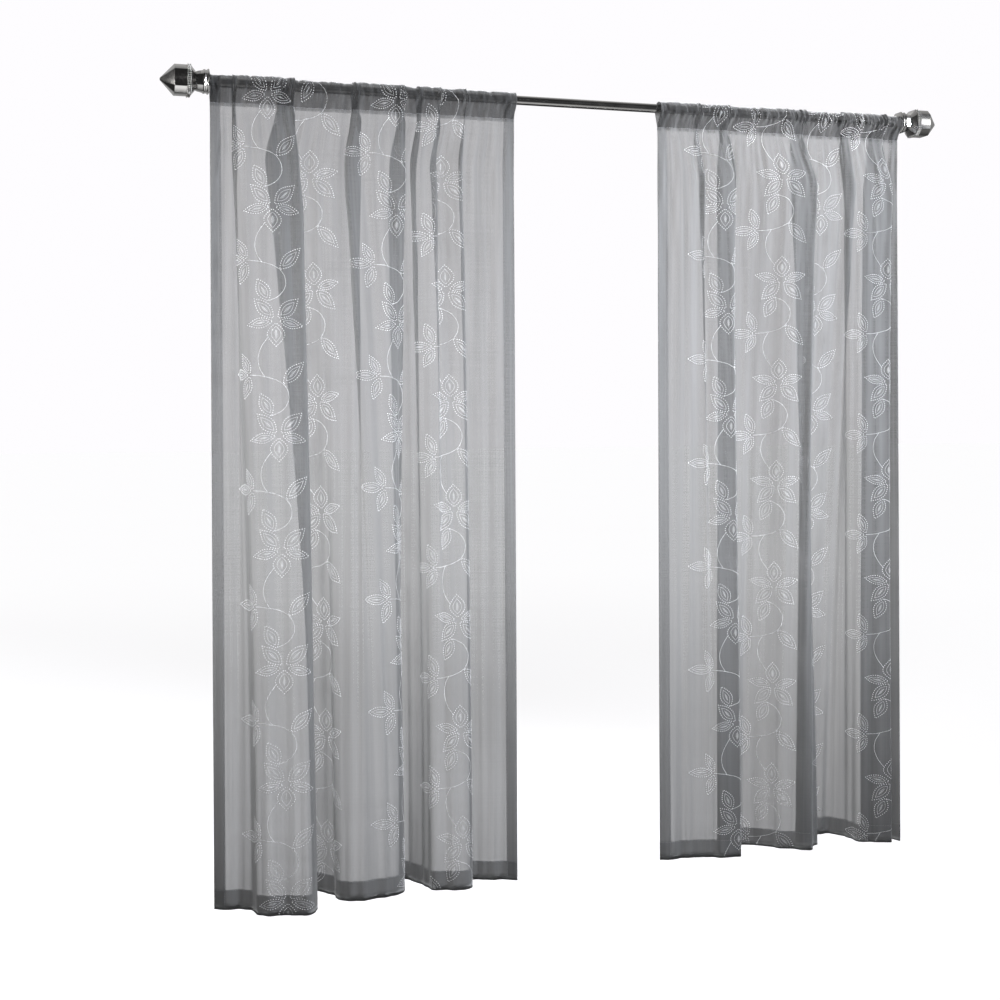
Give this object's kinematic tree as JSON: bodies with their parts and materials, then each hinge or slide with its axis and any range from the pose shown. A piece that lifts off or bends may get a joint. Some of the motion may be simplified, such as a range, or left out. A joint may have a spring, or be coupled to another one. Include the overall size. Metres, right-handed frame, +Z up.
{
  "type": "sheer voile curtain pair on a curtain rod",
  "caption": "Sheer grey voile curtain panels with white embroidered flower sprays, gathered by their rod pockets on a polished metal curtain rod with faceted square finials.",
  "frame": {"origin": "on the rod's axis at mid-length", "axes": "+X along the rod to the right as seen from the room, +Y towards the wall, +Z up"},
  "size_m": [2.252, 0.2425, 2.1574],
  "materials": {
    "voile": "sheer plain-weave voile, grey, with white chain-stitch embroidery",
    "rod_metal": "polished nickel plate",
    "finial_metal": "polished nickel plate with a beaded rim"
  },
  "bodies": {
    "root": {"rod": "rod_metal", "collar_left": "finial_metal", "collar_right": "finial_metal", "finial_left": "finial_metal", "finial_right": "finial_metal", "panel_left": "voile", "panel_right": "voile"}
  },
  "joints": []
}
